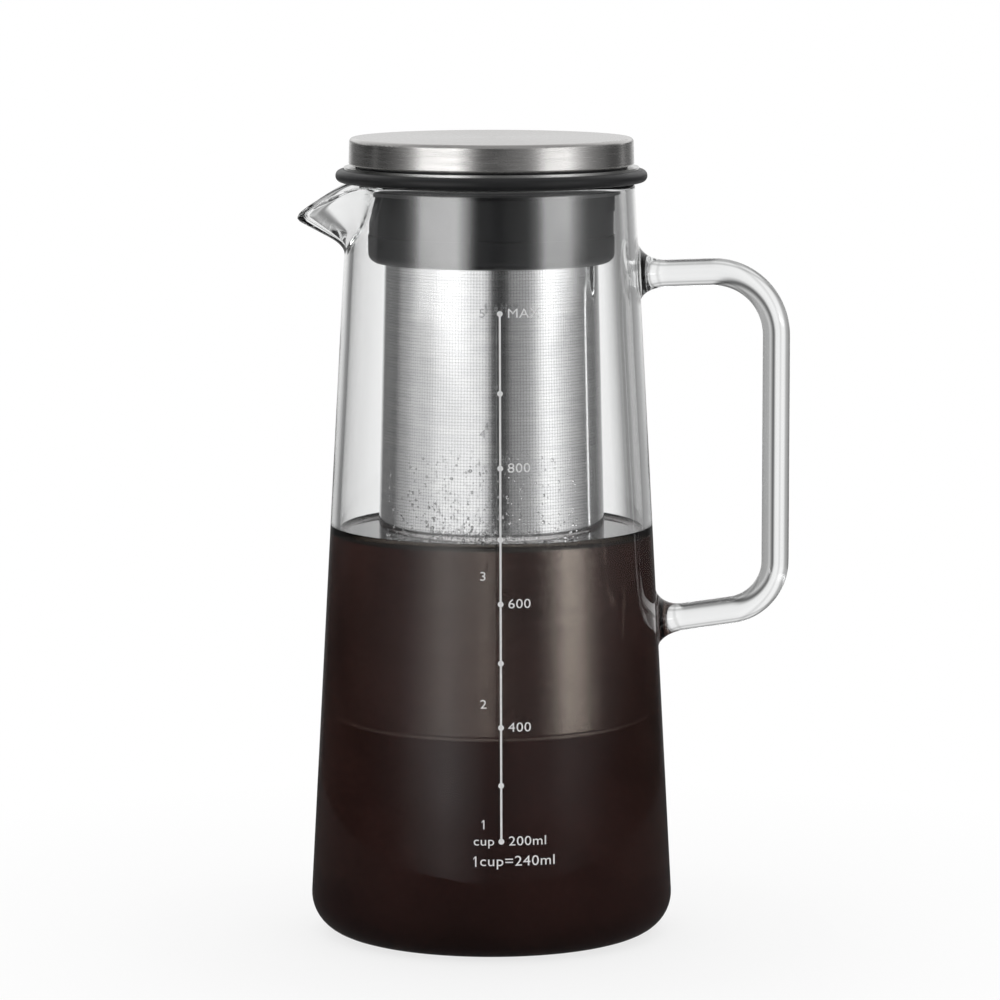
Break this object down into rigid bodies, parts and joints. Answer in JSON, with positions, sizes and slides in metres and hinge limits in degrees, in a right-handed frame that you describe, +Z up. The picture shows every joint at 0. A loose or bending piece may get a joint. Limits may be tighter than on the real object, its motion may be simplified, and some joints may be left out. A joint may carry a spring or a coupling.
{
  "type": "cold brew coffee maker",
  "caption": "Tapered glass carafe with a pulled beak and a rod handle, holding a lift-out steel mesh filter on a silicone collar under a flat steel lid.",
  "frame": {"origin": "on the carafe's axis, at the underside of its base", "axes": "+Z up along the carafe's axis, -X towards the beak, +X towards the handle, -Y towards the scale"},
  "size_m": [0.1353, 0.0998, 0.2198],
  "materials": {
    "glass": "clear borosilicate glass, fire polished",
    "silicone": "black silicone, satin",
    "polished_steel": "stainless steel, spun and lightly polished",
    "steel_mesh": "stainless steel sheet with etched micro-holes",
    "brushed_steel": "stainless steel, brushed round the rim and across the top",
    "plug_plastic": "black moulded polypropylene"
  },
  "bodies": {
    "carafe": {"glass_body": "glass", "glass_handle": "glass"},
    "filter_unit": {"seal_collar": "silicone", "filter_rim": "polished_steel", "filter_screen": "steel_mesh", "filter_base": "polished_steel"},
    "lid": {"lid_cap": "brushed_steel", "lid_plug": "plug_plastic", "lid_seal": "silicone"}
  },
  "joints": [
    {"name": "filter_lift", "type": "slide", "parent": "carafe", "child": "filter_unit", "axis": [0, 0, 1], "range_m": [0, 0.165]},
    {"name": "lid_lift", "type": "slide", "parent": "filter_unit", "child": "lid", "axis": [0, 0, 1], "range_m": [0, 0.05]}
  ]
}
